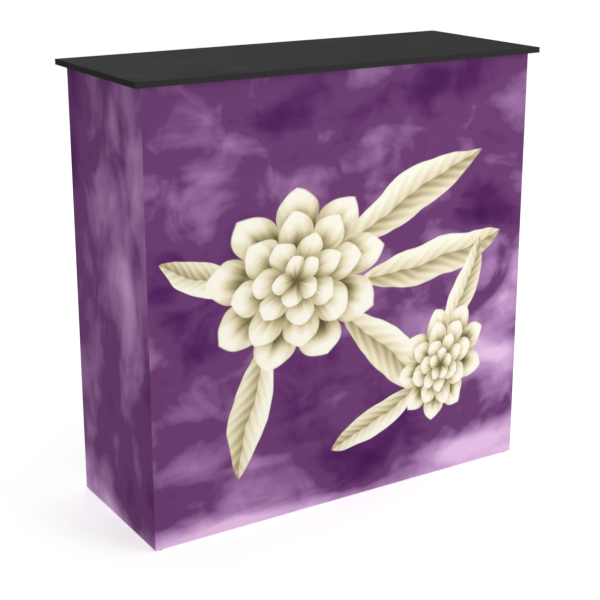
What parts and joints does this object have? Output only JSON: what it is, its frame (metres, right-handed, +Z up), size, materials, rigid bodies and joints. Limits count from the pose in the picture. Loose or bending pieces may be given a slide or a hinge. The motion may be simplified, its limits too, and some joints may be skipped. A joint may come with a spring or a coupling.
{
  "type": "exhibition counter",
  "caption": "Backlit exhibition counter: aluminium push-fit frame with a printed fabric wrap, lamp bars behind it, lift-off worktop, inner shelf and lockable doors at the back.",
  "frame": {"origin": "middle of the footprint, on the floor that the feet stand on", "axes": "+Z up, +X along the counter to the right as the public faces it, -Y towards the public side, +Y towards the doors"},
  "size_m": [1.028, 0.405, 1.016],
  "materials": {
    "charcoal_laminate": "matt charcoal laminate on board",
    "anodised_aluminium": "natural satin anodised extrusion",
    "cast_alloy": "tumbled die-cast alloy",
    "printed_fabric": "dye-sublimated stretch polyester, purple print",
    "silicone": "translucent white silicone strip",
    "foot_nylon": "moulded black nylon",
    "white_board": "matt white foamed plastic board",
    "lamp_white": "white bar with clear moulded lenses",
    "black_housing": "moulded black plastic, fine spark texture",
    "lead_sheath": "black cable sheath",
    "beech": "turned beech, bare",
    "nickel_plated_steel": "satin nickel plate"
  },
  "bodies": {
    "frame": {"rail_bottom_front": "anodised_aluminium", "rail_bottom_back": "anodised_aluminium", "rail_bottom_left": "anodised_aluminium", "rail_bottom_right": "anodised_aluminium", "rail_top_front": "anodised_aluminium", "rail_top_back": "anodised_aluminium", "rail_top_left": "anodised_aluminium", "rail_top_right": "anodised_aluminium", "post_front_left": "anodised_aluminium", "post_front_right": "anodised_aluminium", "post_back_left": "anodised_aluminium", "post_back_right": "anodised_aluminium", "corner_block_bottom_front_left": "cast_alloy", "corner_block_bottom_front_right": "cast_alloy", "corner_block_bottom_back_left": "cast_alloy", "corner_block_bottom_back_right": "cast_alloy", "corner_block_top_front_left": "cast_alloy", "corner_block_top_front_right": "cast_alloy", "corner_block_top_back_left": "cast_alloy", "corner_block_top_back_right": "cast_alloy", "foot_front_left": "foot_nylon", "foot_front_right": "foot_nylon", "foot_back_left": "foot_nylon", "foot_back_right": "foot_nylon", "bead_bottom": "silicone", "bead_top": "silicone", "bead_back_left": "silicone", "bead_back_right": "silicone", "fabric_front": "printed_fabric", "fabric_left": "printed_fabric", "fabric_right": "printed_fabric", "shelf_angle_left": "anodised_aluminium", "shelf_angle_right": "anodised_aluminium", "hinge_frame_leaf_left": "nickel_plated_steel", "hinge_frame_leaf_right": "nickel_plated_steel", "liner_front": "white_board", "liner_left": "white_board", "liner_right": "white_board", "lamp_bar_front": "lamp_white", "lamp_bar_left": "lamp_white", "lamp_bar_right": "lamp_white", "deck": "charcoal_laminate", "shelf": "charcoal_laminate", "lamp_driver": "black_housing", "lamp_leads": "lead_sheath", "power_inlet": "black_housing"},
    "rocker": {"rocker_switch": "black_housing"},
    "top": {"worktop": "charcoal_laminate", "worktop_dowel_front_left": "beech", "worktop_dowel_back_right": "beech"},
    "left_door": {"door_left": "charcoal_laminate", "knob_left": "nickel_plated_steel", "bolt_plate": "nickel_plated_steel", "hinge_door_leaf_left": "nickel_plated_steel"},
    "right_door": {"door_right": "charcoal_laminate", "knob_right": "nickel_plated_steel", "lock_housing": "nickel_plated_steel", "hinge_door_leaf_right": "nickel_plated_steel"},
    "lock": {"lock_cam": "nickel_plated_steel"},
    "bolt": {"bolt_pin": "nickel_plated_steel"}
  },
  "joints": [
    {"name": "worktop_lift", "type": "slide", "parent": "frame", "child": "top", "axis": [0, 0, 1], "range_m": [0, 0.12]},
    {"name": "left_door_swing", "type": "hinge", "parent": "frame", "child": "left_door", "pos_m": [-0.4622, 0.1879, 0.5], "axis": [0, 0, 1], "range_deg": [0, 170]},
    {"name": "right_door_swing", "type": "hinge", "parent": "frame", "child": "right_door", "pos_m": [0.4622, 0.1879, 0.5], "axis": [0, 0, -1], "range_deg": [0, 170]},
    {"name": "lock_turn", "type": "hinge", "parent": "right_door", "child": "lock", "pos_m": [0.023, 0.1853, 0.68], "axis": [0, 1, 0], "range_deg": [0, 90]},
    {"name": "bolt_slide", "type": "slide", "parent": "left_door", "child": "bolt", "axis": [0, 0, 1], "range_m": [0, 0.015]},
    {"name": "switch_tip", "type": "hinge", "parent": "frame", "child": "rocker", "pos_m": [-0.3447, 0.1868, 0.018], "axis": [-1, 0, 0], "range_deg": [0, 16]}
  ]
}
